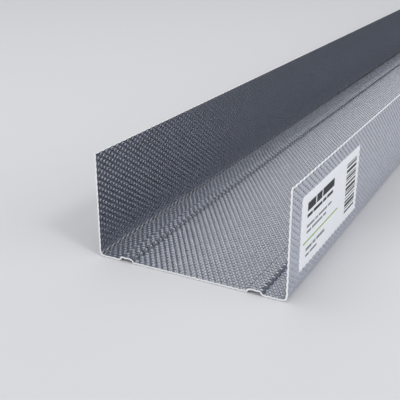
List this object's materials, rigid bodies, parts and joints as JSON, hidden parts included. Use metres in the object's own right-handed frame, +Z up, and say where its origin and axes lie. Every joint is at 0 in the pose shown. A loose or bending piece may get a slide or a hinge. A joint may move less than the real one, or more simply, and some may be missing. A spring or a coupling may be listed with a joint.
{
  "type": "drywall track",
  "caption": "Roll-formed galvanised steel U channel with a ribbed web and plain flanges, fixed to floor or ceiling to hold the ends of drywall studs.",
  "frame": {"origin": "middle of the web's underside, where the track rests on the floor", "axes": "+X along the track away from its labelled end, +Y across the web toward the plain flange, +Z up the flanges"},
  "size_m": [2, 0.0751, 0.04],
  "materials": {
    "steel": "galvanised, knurled all over",
    "label": "matt paper"
  },
  "bodies": {
    "root": {"track": "steel", "label": "label"}
  },
  "joints": []
}
